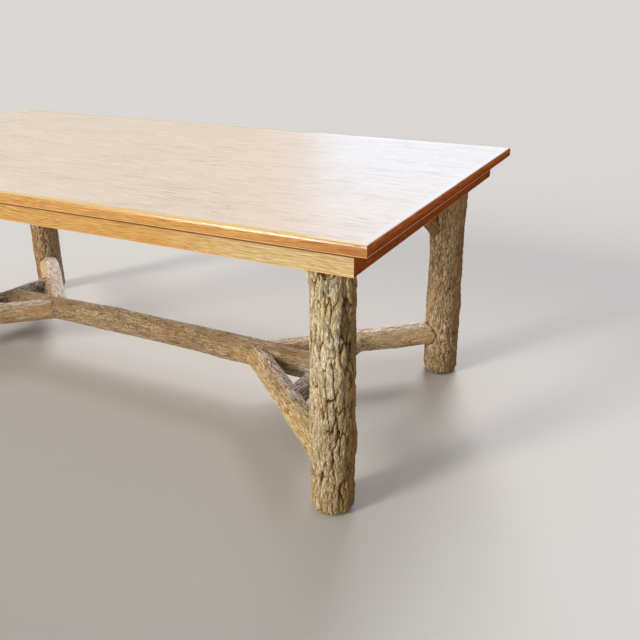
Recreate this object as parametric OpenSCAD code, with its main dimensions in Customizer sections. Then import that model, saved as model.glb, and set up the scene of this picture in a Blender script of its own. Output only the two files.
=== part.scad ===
// Rustic dining table: a veneered oak top in mitred oak mouldings, on a base of bark-on logs.
// Origin on the floor under the middle of the top, +X to the right end, +Y to the back, +Z up.
// The right end is described once. The left end is the same layout turned half way round,
// with its own bark.

/* [Table top] */
// Length of the top over its edge mouldings
top_length = 2134; // [1900:1:2750]
// Width of the top over its edge mouldings
top_width = 1150; // [1050:1:1300]
// Height of the top's surface above the floor
table_height = 762; // [720:1:800]
// Thickness of the panel and of its edge mouldings
top_thickness = 25.4; // [22:0.1:32]
// Width of an edge moulding seen from above
edge_width = 20.5; // [17:0.5:30]
// Radius of the moulding's rounded top edge
edge_round = 6; // [3:0.5:9]
// Radius of the eased lower edges of mouldings and aprons
lower_ease = 1.5; // [0.5:0.1:3]
// Thickness of the tongue that holds a moulding to the panel
tongue_thickness = 8; // [6:0.5:10]
// Depth of that tongue
tongue_depth = 8; // [5:0.5:10]

/* [Aprons] */
// Height of the apron boards
apron_height = 63.5; // [60:0.5:100]
// Thickness of the apron boards
apron_thickness = 19; // [17:0.5:24]
// From the top's front or back edge to the apron's face
apron_setback_side = 44.5; // [30:0.5:48]
// From the top's end edge to the apron's face
apron_setback_end = 48; // [30:0.5:50]

/* [Hidden frame] */
// Thickness of the battens under the top
batten_thickness = 38; // [34:1:45]
// How far an end batten reaches past the legs' inner sides
batten_margin = 5; // [2:1:30]
// Width of the middle batten
middle_batten_width = 89; // [70:1:140]
// Side of the square cleats in the corner of apron and top
cleat_size = 19; // [17:0.5:24]
// Gap between a cleat's end and the batten beside it
cleat_end_gap = 2; // [0.5:0.5:8]
// Side of the triangular glue blocks in the apron's corners
block_side = 38; // [25:1:45]
// How far the glue blocks stop above the apron's lower edge
block_lift = 4; // [2:0.5:8]

/* [Legs] */
// Diameter of a leg at its middle
leg_d = 109.5; // [100:0.5:118]
// How much thinner a leg is at the top than at the foot
leg_taper = 5; // [0:0.5:6]
// From the top's end edge to a leg's axis
leg_inset_end = 144; // [140:1:170]
// From the top's front or back edge to a leg's axis
leg_inset_side = 143; // [140:1:170]
// Bow of a leg out of straight
leg_bow = 5; // [0:0.5:6]
// How far the foot is rounded in
foot_inset = 14; // [6:1:20]
// Height of the rounded foot
foot_round_height = 16; // [8:1:24]
// Diameter of the fork stub on the back right leg
fork_d = 54; // [44:1:60]
// How much the fork thickens towards its leg
fork_taper = 6; // [2:1:12]
// Height at which the fork leaves that leg's axis
fork_height = 464; // [450:1:520]
// Lean of the fork from upright, in degrees
fork_lean = 38; // [30:1:40]
// Plan heading of the fork, in degrees from +X
fork_heading = 222; // [200:1:250]

/* [Rails] */
// Diameter of the centre stretcher
stretcher_d = 85; // [80:1:96]
// How much thicker the stretcher is at its right end than at its left
stretcher_taper = 10; // [0:1:12]
// Height of the stretcher's axis at its ends
stretcher_height = 141; // [130:1:220]
// Diameter of a diagonal brace
brace_d = 75; // [70:1:80]
// Along the length, from a leg's axis to where its brace meets the stretcher's axis
brace_reach = 492; // [440:1:540]
// Height of a brace's axis at the leg, low braces
brace_height_low = 124; // [115:1:150]
// Height of a brace's axis at the leg, high braces
brace_height_high = 145; // [130:1:165]
// Diameter of a cross tie
tie_d = 64; // [60:1:70]
// Along the length, from the leg's axis to the tie's end on the low brace
tie_reach_low = 245; // [220:1:270]
// Along the length, from the leg's axis to the tie's end on the high brace
tie_reach_high = 226; // [190:1:250]
// Bow of the stretcher out of straight
stretcher_bow = 8; // [0:0.5:10]
// Bow of a brace
brace_bow = 1; // [0:0.5:4]
// How much thinner a brace is at the stretcher than at the leg
brace_taper = 4; // [0:0.5:5]
// How far the stretcher's ends are rounded in
stretcher_end_inset = 16; // [12:1:20]
// Length of the stretcher's rounded ends
stretcher_end_length = 42; // [25:1:60]

/* [Bark] */
// Height of the coarse bark ridges
bark_depth = 1.3; // [0.5:0.1:2.5]
// Number of coarse ridges round a leg
leg_ridges = 9; // [6:1:10]
// Number of coarse ridges round a rail
rail_ridges = 7; // [5:1:8]
// Length of one crossing of the ridges along a log
bark_wave = 190; // [150:5:300]
// Difference between a log's long and short radius
log_oval = 1.6; // [0:0.1:3]
// Start of the random bark pattern, in degrees
bark_seed = 95; // [0:1:359]

/* [Joints] */
// Diameter of the round tenons
tenon_d = 35; // [28:0.5:38]
// Depth of a brace's tenon in a leg
tenon_depth_leg = 42; // [25:1:46]
// Depth of a brace's tenon in the stretcher
tenon_depth_stretcher = 32; // [20:1:36]
// Depth of the stretcher's tenon in a tie
tenon_depth_tie = 30; // [18:1:36]
// Difference in diameter between a mortise and its tenon
tenon_clearance = 0.2; // [0.1:0.1:0.6]
// Free depth behind a tenon
tenon_end_gap = 2; // [0.5:0.5:4]
// Gap between a scribed shoulder and the bark it follows
shoulder_gap = 0.3; // [0.2:0.1:1]
// Free depth behind a moulding's tongue
tongue_end_gap = 0.5; // [0.2:0.1:1.5]

/* [Fasteners] */
// Diameter of a leg lag screw
lag_d = 9.5; // [8:0.5:12]
// Depth of a lag screw in its leg
lag_bite = 72; // [50:1:90]
// Distance between the two lag screws of a leg
lag_spacing = 44; // [36:1:56]
// Hex head of a lag screw across the corners
lag_head_d = 16.5; // [14:0.5:20]
// Height of the hex head
lag_head_height = 6.4; // [5:0.2:8]
// Depth of the counterbore for head and washer
lag_sink = 12; // [10:0.5:16]
// Diameter of the washer
washer_d = 25; // [22:1:30]
// Thickness of the washer
washer_thickness = 2; // [1.5:0.1:2.5]
// Diameter of a wood screw
screw_d = 4.8; // [4:0.1:5.5]
// Diameter of a wood screw's head
screw_head_d = 9.5; // [8:0.5:11]
// Height of a wood screw's head
screw_head_height = 3; // [2:0.2:4]
// Depth of the counterbores in the battens
batten_screw_sink = 15; // [8:1:20]
// Depth of a batten screw in the panel
batten_screw_bite = 16; // [10:1:18]
// Batten screws along one batten
batten_screw_rows = 4; // [2:1:6]
// Depth of a cleat screw in the panel or the apron
cleat_screw_bite = 13; // [8:1:14]
// Wanted distance between cleat screws
cleat_screw_spacing = 210; // [150:10:300]
// From a brace to where a toe screw enters the tie
toe_setback = 30; // [22:1:40]
// Length of a toe screw
toe_screw_length = 60; // [45:1:64]
// Depth of a toe screw's counterbore
toe_sink = 10; // [8:1:14]
// Difference in diameter between a counterbore and a screw's head
head_room = 1; // [0.5:0.5:2]
// Difference in diameter between a hole and its screw
screw_clearance = 0.2; // [0.1:0.1:0.5]

/* [Hidden] */

// Ends and sides of the table. A low joint is on side -1 of an end, a high one on side +1
RIGHT = 1;
LEFT = -1;
LOW = -1;
HIGH = 1;

round_fn = 48;
screw_fn = 20;
hex_fn = 6;
leg_sides = 32;
rail_sides = 24;
ring_step = 42;
cut_over = 1;
// How far past a joint the scribing of a shoulder is carried
scribe_over = 6;
tenon_root = 14;

// Levels
panel_bottom = table_height - top_thickness;
apron_bottom = panel_bottom - apron_height;
leg_top = panel_bottom - batten_thickness;

// Inner faces of the aprons
apron_inner_x = top_length / 2 - apron_setback_end - apron_thickness;
apron_inner_y = top_width / 2 - apron_setback_side - apron_thickness;

// Axes of the right legs
leg_x = top_length / 2 - leg_inset_end;
leg_y = top_width / 2 - leg_inset_side;
batten_inner_x = leg_x - leg_d / 2 - batten_margin;
batten_width = apron_inner_x - batten_inner_x;
middle_batten_x = middle_batten_width / 2;

// The stretcher ends where its axis crosses the cross ties, at a share of their length
tie_crossing = (brace_reach - tie_reach_low) / (2 * brace_reach - tie_reach_low - tie_reach_high);
stretcher_half = leg_x - mix(tie_reach_low, tie_reach_high, tie_crossing);
// The braces aim at the stretcher's axis, which bows up and a little to the back
stretcher_heading = 153;
meeting_turn = 90 * (stretcher_half - leg_x + brace_reach) / stretcher_half;
meeting_height = stretcher_height - stretcher_bow * sin(meeting_turn) * cos(stretcher_heading);

// Places on the axes of the right end's rails
function brace_height(side) = side == LOW ? brace_height_low : brace_height_high;
function tie_reach(side) = side == LOW ? tie_reach_low : tie_reach_high;
function on_brace(side, reach) = [
    leg_x - reach,
    side * leg_y * (1 - reach / brace_reach),
    mix(brace_height(side), meeting_height, reach / brace_reach)
];
function tie_end(side) = on_brace(side, tie_reach(side));
function mix(a, b, t) = a + (b - a) * t;
tie_middle = mix(tie_end(LOW), tie_end(HIGH), tie_crossing);
brace_run = on_brace(LOW, brace_reach) - on_brace(LOW, 0);
brace_slant = abs(brace_run.y) / norm([brace_run.x, brace_run.y]);

// A log is [length, foot diameter, tip diameter, bow, bow heading, seed, start round, end round,
// knots, bark]. A round is [inset, length], a knot [height, heading, width, rise], and a bark
// [sides, ridges]
NO_ROUND = [0, 0];
LEG_BARK = [leg_sides, leg_ridges];
RAIL_BARK = [rail_sides, rail_ridges];
WHOLE = [-1e6, 1e6];
function leg_seed(end, side) = bark_seed + 61 * end + 27 * side;
function brace_seed(end, side) = leg_seed(end, side) + 40;
function tie_seed(end) = leg_seed(end, 0) + 15;

leg_knots_front_right = [[655, 207, 34, 9], [205, 27, 42, 5], [452, 250, 30, 3], [330, 120, 36, 4]];
leg_knots_back_right = [[fork_height + 40, fork_heading, 50, 5], [250, 30, 40, 4], [130, 300, 36, 3]];
leg_knots_left = [[600, 160, 38, 6], [380, 320, 34, 5], [190, 60, 44, 4]];
brace_knots = [[200, 130, 30, 2.5], [430, 250, 34, 2.5]];
tie_knots = [[190, 90, 30, 2]];
stretcher_knots = [[520, 140, 40, 3], [1010, 220, 44, 3]];
function leg_knots(end, side) =
    end == LEFT ? leg_knots_left : side == LOW ? leg_knots_front_right : leg_knots_back_right;
function leg_heading(side) = side == LOW ? 293 : 147;
function leg_log(end, side) = [
    leg_top, leg_d + leg_taper / 2, leg_d - leg_taper / 2, leg_bow, leg_heading(side), leg_seed(end, side),
    [foot_inset, foot_round_height], NO_ROUND, leg_knots(end, side), LEG_BARK
];
function brace_log(end, side) = [
    norm(on_brace(side, brace_reach) - on_brace(side, 0)), brace_d + brace_taper / 2,
    brace_d - brace_taper / 2, brace_bow, 90 * side, brace_seed(end, side), NO_ROUND, NO_ROUND,
    brace_knots, RAIL_BARK
];
function tie_log(end) = [
    norm(tie_end(HIGH) - tie_end(LOW)), tie_d, tie_d, 0, 0, tie_seed(end), NO_ROUND, NO_ROUND,
    tie_knots, RAIL_BARK
];
stretcher_log = [
    2 * stretcher_half, stretcher_d - stretcher_taper / 2, stretcher_d + stretcher_taper / 2,
    stretcher_bow, stretcher_heading, bark_seed,
    [stretcher_end_inset, stretcher_end_length], [stretcher_end_inset, stretcher_end_length],
    stretcher_knots, RAIL_BARK
];
// The fork runs on past the leg's top, where it is cut level
fork_log = [
    (leg_top - fork_height) / cos(fork_lean) + fork_d, fork_d + fork_taper, fork_d - fork_taper / 2, 0, 0,
    bark_seed, NO_ROUND, NO_ROUND, [], RAIL_BARK
];

// Radius of a log's bark at a height and a heading round it
function turn_between(a, b) = ((a - b) % 360 + 540) % 360 - 180;
function knot_rise(knot, r, h, a) =
    let (along = (h - knot[0]) / knot[2], around = turn_between(a, knot[1]) * PI / 180 * r / knot[2])
    knot[3] * exp(-along * along - around * around);
function sum(list, i = 0) = i < len(list) ? list[i] + sum(list, i + 1) : 0;
function bark_radius(log, h, a) =
    let (
        plain = mix(log[1], log[2], h / log[0]) / 2,
        seed = log[5],
        ridges = log[9][1],
        turn = 360 * h / bark_wave,
        rising = cos(ridges * a + turn + seed),
        falling = cos(ridges * a - turn * 3 / 4 + 2 * seed),
        oval = cos(2 * a + turn / 3 + seed)
    )
    plain + bark_depth * (rising + falling) / 2 + log_oval * oval / 2
    + sum([for (knot = log[8]) knot_rise(knot, plain, h, a)]);

// How much a rounded end draws the bark in, at a distance from that end
function end_draw(round, h) =
    h < round[1] ? round[0] * (1 - sqrt(1 - pow(1 - h / round[1], 2))) : 0;
function round_rings(round) = round[1] > 0 ? [0, round[1] / 4] : [];
function ring_heights(log) =
    let (
        first = log[6][1],
        last = log[0] - log[7][1],
        steps = round((last - first) / ring_step),
        tail = round_rings(log[7])
    )
    concat(
        round_rings(log[6]),
        [for (i = [0:steps]) mix(first, last, i / steps)],
        [for (i = [len(tail) - 1:-1:0]) log[0] - tail[i]]
    );
// The rings that enclose a span of a log
function rings_over(log, span) =
    let (all = ring_heights(log), top = len(all) - 1)
    [for (i = [0:top]) if ((i == top || all[i + 1] > span[0]) && (i == 0 || all[i - 1] < span[1])) all[i]];
function log_axis(log, h) =
    log[3] * sin(180 * h / log[0]) * [cos(log[4]), sin(log[4])];
function log_ring(log, h, grow) =
    let (
        axis = log_axis(log, h),
        draw = end_draw(log[6], h) + end_draw(log[7], log[0] - h),
        sides = log[9][0]
    )
    [
        for (j = [0:sides - 1])
        let (a = 360 * j / sides, r = bark_radius(log, h, a) - draw + grow)
        [axis.x + r * cos(a), axis.y + r * sin(a), h]
    ];

// A bark-on log standing on the origin, or only the part of it that holds a span of its length
module bark_log(log, grow = 0, span = WHOLE) {
    heights = rings_over(log, span);
    sides = log[9][0];
    count = len(heights);
    first = heights[0];
    last = heights[count - 1];
    points = concat(
        [concat(log_axis(log, first), first)],
        [for (h = heights) each log_ring(log, h, grow)],
        [concat(log_axis(log, last), last)]
    );
    top = len(points) - 1;
    skin = [
        for (i = [0:count - 2], j = [0:sides - 1])
        let (a = 1 + i * sides + j, b = 1 + i * sides + (j + 1) % sides)
        each [[a, a + sides, b + sides], [a, b + sides, b]]
    ];
    foot = [for (j = [0:sides - 1]) [0, 1 + j, 1 + (j + 1) % sides]];
    head = [for (j = [0:sides - 1]) [top, top - sides + (j + 1) % sides, top - sides + j]];
    polyhedron(points, concat(foot, skin, head));
}

// Stands what is drawn along +Z on point a, pointing to point b
module along(a, b) {
    run = b - a;
    translate(a) rotate([0, acos(run.z / norm(run)), atan2(run.y, run.x)]) children();
}

// Lengths of the logs that a scribed shoulder meets, each from its log's own foot
function span_around(middle, before, after) = [middle - before - scribe_over, middle + after + scribe_over];
function leg_span(side) = span_around(brace_height(side), brace_d / 2, brace_d / 2);
function brace_span(side) =
    span_around(norm(tie_end(side) - on_brace(side, 0)), tie_d / 2, tie_d + brace_d / 2);
tie_span = span_around(norm(tie_middle - tie_end(LOW)), stretcher_d / 2, stretcher_d / 2);
meeting_reach = (stretcher_d + brace_d) / 2 / brace_slant;
function stretcher_span(end) =
    let (before = end == RIGHT ? brace_d / 2 : meeting_reach, after = brace_d / 2 + meeting_reach - before)
    span_around(stretcher_half + end * (leg_x - brace_reach), before, after);

// Puts what is drawn for the right end on the end asked for
module at_end(end) {
    rotate([0, 0, end == RIGHT ? 0 : 180]) children();
}

// Round timber at its place in the right end, before any joint is cut
module leg_stock(end, side, grow = 0, span = WHOLE) {
    translate([leg_x, side * leg_y, 0]) bark_log(leg_log(end, side), grow, span);
}
module brace_stock(end, side, grow = 0, span = WHOLE) {
    along(on_brace(side, 0), on_brace(side, brace_reach)) bark_log(brace_log(end, side), grow, span);
}
module tie_stock(end, grow = 0, span = WHOLE) {
    along(tie_end(LOW), tie_end(HIGH)) bark_log(tie_log(end), grow, span);
}
module stretcher_stock(grow = 0, span = WHOLE) {
    along([-stretcher_half, 0, stretcher_height], [stretcher_half, 0, stretcher_height])
        bark_log(stretcher_log, grow, span);
}

// Round tenons of the right end. With wider and deeper set, the same call bores the mortise
module brace_leg_tenon(side, wider = 0, deeper = 0) {
    start = leg_d / 2 - tenon_depth_leg - deeper;
    along(on_brace(side, 0), on_brace(side, brace_reach))
        translate([0, 0, start])
            cylinder(d = tenon_d + wider, h = tenon_depth_leg + tenon_root + deeper, $fn = round_fn);
}
module brace_stretcher_tenon(side, wider = 0, deeper = 0) {
    start = stretcher_d / 2 / brace_slant - tenon_depth_stretcher - deeper;
    along(on_brace(side, brace_reach), on_brace(side, 0))
        translate([0, 0, start])
            cylinder(d = tenon_d + wider, h = tenon_depth_stretcher + tenon_root + deeper, $fn = round_fn);
}
module stretcher_tenon(wider = 0, deeper = 0) {
    start = stretcher_half - tie_d / 2 - tenon_root;
    translate([start, 0, stretcher_height]) rotate([0, 90, 0])
        cylinder(d = tenon_d + wider, h = tenon_depth_tie + tenon_root + deeper, $fn = round_fn);
}

// Toe screw of the right end, from under the tie up into a brace
module toe_axis(side) {
    inward = (tie_end(-side) - tie_end(side)) / norm(tie_end(-side) - tie_end(side));
    mouth = tie_end(side) + inward * (brace_d / 2 + toe_setback) - [0, 0, tie_d / 2];
    along(mouth, tie_end(side)) children();
}
module toe_hole(side) {
    toe_axis(side) {
        translate([0, 0, -tie_d / 2])
            cylinder(d = screw_head_d + head_room, h = tie_d / 2 + toe_sink, $fn = screw_fn);
        pilot_bore(toe_sink + toe_screw_length + cut_over);
    }
}

// A pan-head wood screw with its head under the origin and its tip up
module wood_screw(length) {
    crown = screw_head_height / 3;
    rotate_extrude($fn = screw_fn)
        polygon([
            [0, -screw_head_height], [screw_head_d / 2 - crown, -screw_head_height],
            [screw_head_d / 2, -crown], [screw_head_d / 2, 0],
            [screw_d / 2, 0], [screw_d / 2, length - screw_d], [0, length]
        ]);
}

// Places of the repeated fasteners
lag_places = [
    for (end = [LEFT, RIGHT], side = [LOW, HIGH], step = [-1, 1])
    [end * leg_x, side * leg_y + step * lag_spacing / 2]
];
function batten_rows(middle, width) = [
    for (step = [-1, 1], row = [0:batten_screw_rows - 1])
    [
        middle + step * (width / 2 - screw_head_d * 2),
        (leg_y - leg_d) * (2 * row / (batten_screw_rows - 1) - 1)
    ]
];
end_batten_x = (apron_inner_x + batten_inner_x) / 2;
batten_screw_places = concat(
    batten_rows(-end_batten_x, batten_width), batten_rows(0, middle_batten_width),
    batten_rows(end_batten_x, batten_width)
);
bay_start = middle_batten_x + cleat_end_gap;
bay_end = batten_inner_x - cleat_end_gap;
cleat_length = bay_end - bay_start;
cleat_screws = max(2, round(cleat_length / cleat_screw_spacing));
function cleat_places(offset) = [
    for (bay = [LEFT, RIGHT], i = [0:cleat_screws - 1])
    bay * (bay_start + cleat_length * (i + 0.5) / cleat_screws) + offset
];
// The two directions of cleat screws are staggered, so that they pass each other
cleat_stagger = screw_d * 2;
cleat_axis_y = apron_inner_y - cleat_size / 2;
cleat_axis_z = panel_bottom - cleat_size / 2;

// Colours
oak_veneer = [0.85, 0.76, 0.62];
golden_oak = [0.80, 0.56, 0.28];
plain_timber = [0.82, 0.72, 0.54];
grey_bark = [0.58, 0.50, 0.36];
brown_bark = [0.55, 0.42, 0.29];
zinc = [0.72, 0.73, 0.74];

// Cross-section of a moulding or apron. Its outer face is at 0, and its inner side at width
module board_section(width, height, top_round) {
    difference() {
        square([width, height]);
        section_corner(lower_ease, lower_ease, -1);
        section_corner(height - top_round, top_round, 1);
    }
}
module section_corner(centre, r, up) {
    difference() {
        translate([-cut_over, up > 0 ? centre : -cut_over]) square([r + cut_over, r + cut_over]);
        translate([r, centre]) circle(r = r, $fn = round_fn);
    }
}
// Plan of a mitred strip along the front, to cut its ends at 45 degrees
module mitre_plan(run, out, depth) {
    polygon([
        [-run / 2, -out], [run / 2, -out],
        [run / 2 - depth, depth - out], [depth - run / 2, depth - out]
    ]);
}
// Lays a cross-section along the front, its outer face at a distance from the middle
module along_front(run, out, bottom) {
    translate([-run / 2, -out, bottom]) rotate([90, 0, 90]) linear_extrude(run) children();
}

module edge_strip(run, out) {
    depth = edge_width + tongue_depth;
    color(golden_oak) intersection() {
        along_front(run, out, panel_bottom) {
            board_section(edge_width, top_thickness, edge_round);
            translate([edge_width - cut_over, (top_thickness - tongue_thickness) / 2])
                square([tongue_depth + cut_over, tongue_thickness]);
        }
        translate([0, 0, panel_bottom - cut_over])
            linear_extrude(top_thickness + 2 * cut_over) mitre_plan(run, out, depth);
    }
}
module apron_board(run, out, screws) {
    color(golden_oak) difference() {
        intersection() {
            along_front(run, out, apron_bottom)
                board_section(apron_thickness, apron_height, lower_ease);
            translate([0, 0, apron_bottom - cut_over])
                linear_extrude(apron_height + 2 * cut_over) mitre_plan(run, out, apron_thickness);
        }
        if (screws) cleat_bores_out();
    }
}
module apron_side(end) {
    rotate([0, 0, end == RIGHT ? 0 : 180])
        apron_board(top_length - 2 * apron_setback_end, top_width / 2 - apron_setback_side, true);
}
module apron_end(end) {
    rotate([0, 0, 90 * end])
        apron_board(top_width - 2 * apron_setback_side, top_length / 2 - apron_setback_end, false);
}

// The veneered panel, grooved all round for the mouldings' tongues
module top_panel() {
    length = top_length - 2 * edge_width;
    width = top_width - 2 * edge_width;
    groove = tongue_depth + tongue_end_gap;
    color(oak_veneer) difference() {
        translate([-length / 2, -width / 2, panel_bottom]) cube([length, width, top_thickness]);
        translate([0, 0, panel_bottom + (top_thickness - tongue_thickness) / 2]) {
            for (side = [-1, 1]) {
                translate([-length / 2 - cut_over, side * (width / 2 - groove / 2) - groove / 2, 0])
                    cube([length + 2 * cut_over, groove, tongue_thickness]);
                translate([side * (length / 2 - groove / 2) - groove / 2, -width / 2 - cut_over, 0])
                    cube([groove, width + 2 * cut_over, tongue_thickness]);
            }
        }
        for (place = batten_screw_places) translate([place.x, place.y, panel_bottom - cut_over])
            pilot_bore(batten_screw_bite + cut_over);
        for (side = [-1, 1], x = cleat_places(0))
            translate([x, side * cleat_axis_y, panel_bottom - cut_over])
                pilot_bore(cleat_screw_bite + cut_over);
    }
}
module pilot_bore(depth) {
    cylinder(d = screw_d + screw_clearance, h = depth + screw_clearance, $fn = screw_fn);
}

module batten(middle, width) {
    color(plain_timber) difference() {
        translate([middle - width / 2, -apron_inner_y, leg_top])
            cube([width, 2 * apron_inner_y, batten_thickness]);
        for (place = batten_rows(middle, width)) translate([place.x, place.y, leg_top - cut_over]) {
            cylinder(d = screw_head_d + head_room, h = batten_screw_sink + cut_over, $fn = screw_fn);
            pilot_bore(batten_thickness + 2 * cut_over);
        }
        for (place = lag_places) translate([place.x, place.y, 0]) {
            translate([0, 0, panel_bottom - lag_sink])
                cylinder(d = washer_d + 2 * head_room, h = lag_sink + cut_over, $fn = round_fn);
            translate([0, 0, leg_top - cut_over])
                cylinder(d = lag_d + screw_clearance, h = batten_thickness, $fn = screw_fn);
        }
    }
}

// Two cleats, one in each bay between the battens
module cleats(end) {
    bottom = panel_bottom - cleat_size;
    color(plain_timber) rotate([0, 0, end == RIGHT ? 0 : 180]) difference() {
        for (bay = [LEFT, RIGHT])
            translate([bay * (bay_start + bay_end) / 2 - cleat_length / 2, -apron_inner_y, bottom])
                cube([cleat_length, cleat_size, cleat_size]);
        for (x = cleat_places(0)) translate([x, -cleat_axis_y, bottom - cut_over])
            pilot_bore(cleat_size + 2 * cut_over);
        cleat_bores_out();
    }
}
// Holes of the screws that go out from the front cleats into the front apron
module cleat_bores_out() {
    for (x = cleat_places(cleat_stagger))
        translate([x, cleat_size - apron_inner_y + cut_over, cleat_axis_z]) rotate([90, 0, 0])
            pilot_bore(cleat_size + cleat_screw_bite + cut_over);
}

module corner_block(end, side) {
    x = end * apron_inner_x;
    y = side * apron_inner_y;
    color(plain_timber) translate([x, y, apron_bottom + block_lift])
        linear_extrude(leg_top - apron_bottom - block_lift)
            polygon([[0, 0], [-end * block_side, 0], [0, -side * block_side]]);
}

module leg(end, side) {
    color(grey_bark) at_end(end) difference() {
        union() {
            leg_stock(end, side);
            if (end == RIGHT && side == HIGH) fork_stub();
        }
        brace_leg_tenon(side, tenon_clearance, tenon_end_gap);
        for (step = [-1, 1])
            translate([leg_x, side * leg_y + step * lag_spacing / 2, leg_top - lag_bite - cut_over])
                cylinder(d = lag_d + screw_clearance, h = lag_bite + 2 * cut_over, $fn = screw_fn);
    }
}
// Stub of a natural fork, cut level with the top of its leg
module fork_stub() {
    difference() {
        translate([leg_x, leg_y, fork_height]) rotate([0, fork_lean, fork_heading]) bark_log(fork_log);
        translate([leg_x - top_width / 2, leg_y - top_width / 2, leg_top])
            cube([top_width, top_width, table_height]);
    }
}

module stretcher() {
    color(brown_bark) difference() {
        union() {
            difference() {
                stretcher_stock();
                for (end = [LEFT, RIGHT]) at_end(end) tie_stock(end, shoulder_gap, tie_span);
            }
            for (end = [LEFT, RIGHT]) at_end(end) stretcher_tenon();
        }
        for (end = [LEFT, RIGHT], side = [LOW, HIGH]) at_end(end)
            brace_stretcher_tenon(side, tenon_clearance, tenon_end_gap);
    }
}
module brace(end, side) {
    color(brown_bark) at_end(end) difference() {
        union() {
            difference() {
                brace_stock(end, side);
                leg_stock(end, side, shoulder_gap, leg_span(side));
                at_end(end) stretcher_stock(shoulder_gap, stretcher_span(end));
            }
            brace_leg_tenon(side);
            brace_stretcher_tenon(side);
        }
        toe_hole(side);
    }
}

module tie(end) {
    color(brown_bark) at_end(end) difference() {
        tie_stock(end);
        for (side = [LOW, HIGH]) {
            brace_stock(end, side, shoulder_gap, brace_span(side));
            toe_hole(side);
        }
        stretcher_tenon(tenon_clearance, tenon_end_gap);
    }
}

module leg_lag_screws() {
    seat = panel_bottom - lag_sink + washer_thickness;
    length = seat - leg_top + lag_bite;
    color(zinc) for (place = lag_places) translate([place.x, place.y, seat]) {
        cylinder(d = lag_head_d, h = lag_head_height, $fn = hex_fn);
        rotate_extrude($fn = screw_fn)
            polygon([[0, cut_over], [lag_d / 2, cut_over], [lag_d / 2, lag_d - length], [0, -length]]);
    }
}
module leg_lag_washers() {
    bottom = panel_bottom - lag_sink;
    color(zinc) for (place = lag_places) translate([place.x, place.y, bottom]) difference() {
        cylinder(d = washer_d, h = washer_thickness, $fn = round_fn);
        translate([0, 0, -cut_over])
            cylinder(d = lag_d + 2 * screw_clearance, h = washer_thickness + 2 * cut_over, $fn = round_fn);
    }
}
module batten_screws() {
    color(zinc) for (place = batten_screw_places)
        translate([place.x, place.y, leg_top + batten_screw_sink])
            wood_screw(batten_thickness - batten_screw_sink + batten_screw_bite);
}
module cleat_screws_up() {
    color(zinc) for (side = [-1, 1], x = cleat_places(0))
        translate([x, side * cleat_axis_y, panel_bottom - cleat_size])
            wood_screw(cleat_size + cleat_screw_bite);
}
module cleat_screws_out() {
    color(zinc) for (end = [LEFT, RIGHT]) at_end(end) for (x = cleat_places(cleat_stagger))
        translate([x, cleat_size - apron_inner_y, cleat_axis_z]) rotate([90, 0, 0])
            wood_screw(cleat_size + cleat_screw_bite);
}
module toe_screws() {
    color(zinc) for (end = [LEFT, RIGHT], side = [LOW, HIGH]) at_end(end) toe_axis(side)
        translate([0, 0, toe_sink]) wood_screw(toe_screw_length);
}

top_panel();
edge_strip(top_length, top_width / 2);  // edge_front
rotate([0, 0, 180]) edge_strip(top_length, top_width / 2);  // edge_back
rotate([0, 0, -90]) edge_strip(top_width, top_length / 2);  // edge_left
rotate([0, 0, 90]) edge_strip(top_width, top_length / 2);  // edge_right
apron_side(RIGHT);  // apron_front
apron_side(LEFT);  // apron_back
apron_end(LEFT);  // apron_left
apron_end(RIGHT);  // apron_right
batten(-end_batten_x, batten_width);  // batten_left
batten(0, middle_batten_width);  // batten_middle
batten(end_batten_x, batten_width);  // batten_right
cleats(RIGHT);  // cleats_front
cleats(LEFT);  // cleats_back
corner_block(LEFT, -1);  // corner_block_front_left
corner_block(RIGHT, -1);  // corner_block_front_right
corner_block(LEFT, 1);  // corner_block_back_left
corner_block(RIGHT, 1);  // corner_block_back_right
leg(LEFT, HIGH);  // leg_front_left
leg(RIGHT, LOW);  // leg_front_right
leg(LEFT, LOW);  // leg_back_left
leg(RIGHT, HIGH);  // leg_back_right
stretcher();
brace(LEFT, HIGH);  // brace_front_left
brace(RIGHT, LOW);  // brace_front_right
brace(LEFT, LOW);  // brace_back_left
brace(RIGHT, HIGH);  // brace_back_right
tie(LEFT);  // tie_left
tie(RIGHT);  // tie_right
leg_lag_screws();
leg_lag_washers();
batten_screws();
cleat_screws_up();
cleat_screws_out();
toe_screws();
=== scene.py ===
# %% [markdown]
# # A rustic dining table: oak top, bark-on log base
# The real table is a flat oak-veneered board, framed with solid oak mouldings, on a base of logs
# that still wear their bark. The logs are made again here, because a CAD log has room for the
# big ridges of the bark but not for its plates and cracks.

import math

import bpy
import numpy as np
from mathutils import Matrix, Vector


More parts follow.
